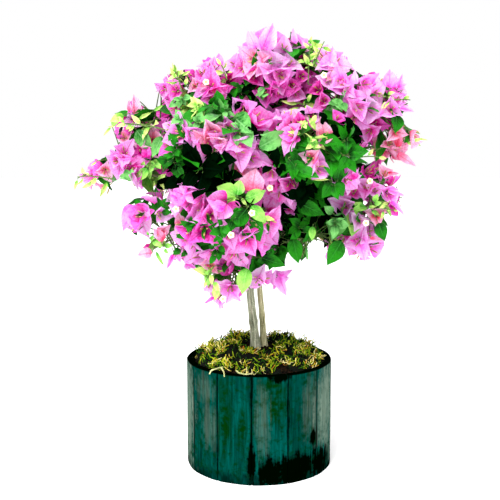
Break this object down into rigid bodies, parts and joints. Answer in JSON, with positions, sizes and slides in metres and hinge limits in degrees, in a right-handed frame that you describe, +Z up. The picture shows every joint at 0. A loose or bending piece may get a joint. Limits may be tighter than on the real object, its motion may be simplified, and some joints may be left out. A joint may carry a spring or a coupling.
{
  "type": "bougainvillea bush in a staved wooden pot",
  "caption": "Round-headed bougainvillea grown as a small tree: slender stems and a wide crown of green leaves and pink bracts, in a round pot of blue-green wooden staves topped with moss.",
  "frame": {"origin": "centre of the pot's flat underside", "axes": "+Z up along the pot's axis, -Y towards the side seen in the picture, +X to that viewer's right"},
  "size_m": [0.534, 0.4173, 0.669],
  "materials": {
    "stained_stave": "matt weathered stain",
    "pot_floor": "raw board",
    "potting_soil": "moist and crumbly",
    "moss": "soft and fibrous",
    "stem_bark": "finely furrowed bark",
    "bough_bark": "young smooth bark",
    "flowering_mass": "thin papery bracts",
    "leafy_mass": "smooth green leaves"
  },
  "bodies": {
    "root": {"stave_01": "stained_stave", "stave_02": "stained_stave", "stave_03": "stained_stave", "stave_04": "stained_stave", "stave_05": "stained_stave", "stave_06": "stained_stave", "stave_07": "stained_stave", "stave_08": "stained_stave", "stave_09": "stained_stave", "stave_10": "stained_stave", "stave_11": "stained_stave", "stave_12": "stained_stave", "stave_13": "stained_stave", "pot_floor": "pot_floor", "soil": "potting_soil", "moss_left": "moss", "moss_right": "moss", "moss_back_left": "moss", "moss_back_right": "moss", "stem_left": "stem_bark", "stem_right": "stem_bark", "bough_crown_top_left": "bough_bark", "bough_crown_top_right": "bough_bark", "bough_right_upper": "bough_bark", "bough_left_upper": "bough_bark", "bough_left_side": "bough_bark", "bough_front_upper_left": "bough_bark", "bough_front_upper_right": "bough_bark", "bough_front_low": "bough_bark", "bough_front_foot": "bough_bark", "bough_left_low": "bough_bark", "bough_right_low": "bough_bark", "bough_low_right": "bough_bark", "bough_back_top": "bough_bark", "bough_back_left": "bough_bark", "bough_back_right": "bough_bark", "bough_back_middle": "bough_bark", "bough_back_low_left": "bough_bark", "bough_back_low_right": "bough_bark", "crown_top": "flowering_mass", "crown_top_left": "flowering_mass", "crown_top_right": "flowering_mass", "right_upper": "flowering_mass", "left_upper": "flowering_mass", "left_side": "leafy_mass", "front_upper_left": "leafy_mass", "front_upper_right": "leafy_mass", "front_low": "flowering_mass", "front_foot": "flowering_mass", "left_low": "flowering_mass", "right_low": "flowering_mass", "low_right": "leafy_mass", "back_top": "flowering_mass", "back_left": "flowering_mass", "back_right": "flowering_mass", "back_middle": "flowering_mass", "back_low_left": "flowering_mass", "back_low_right": "flowering_mass"}
  },
  "joints": []
}
